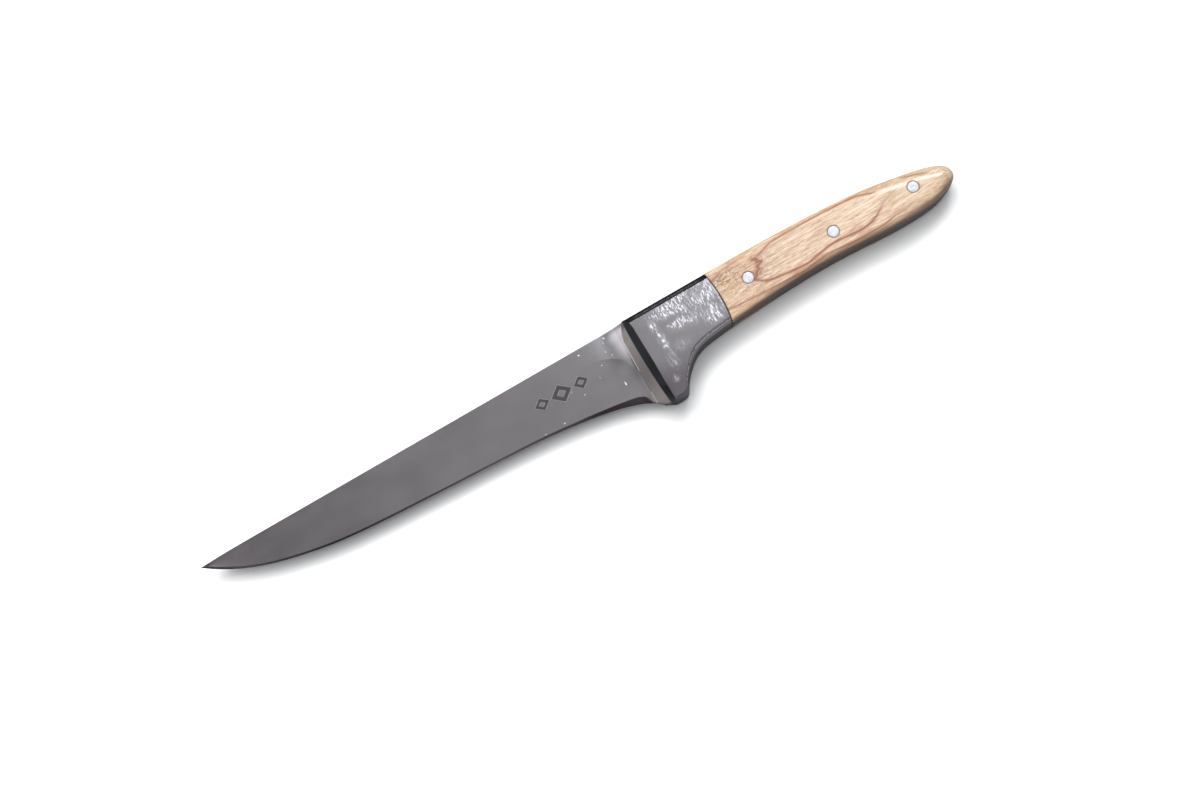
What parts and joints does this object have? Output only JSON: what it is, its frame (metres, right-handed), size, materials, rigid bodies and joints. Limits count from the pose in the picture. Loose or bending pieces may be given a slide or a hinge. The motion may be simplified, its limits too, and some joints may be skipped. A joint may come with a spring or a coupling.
{
  "type": "boning knife",
  "caption": "Forged full-tang boning knife with a narrow pointed blade, a thick steel bolster with a finger guard, and riveted wooden scales.",
  "frame": {"origin": "on the surface that the lower cheeks rest on, under the middle of the object's box", "axes": "+X from the tip towards the butt, +Y from the cutting edge towards the spine, +Z out of the upper cheek, across the thickness"},
  "size_m": [0.2824, 0.032, 0.0125],
  "materials": {
    "blade_steel": "satin blade, worn polished bolster",
    "handle_wood": "light oiled wood with reddish brown figure",
    "pin_metal": "ground flush, lightly peened"
  },
  "bodies": {
    "root": {"blade": "blade_steel", "front_scale": "handle_wood", "back_scale": "handle_wood", "front_pin": "pin_metal", "middle_pin": "pin_metal", "rear_pin": "pin_metal"}
  },
  "joints": []
}
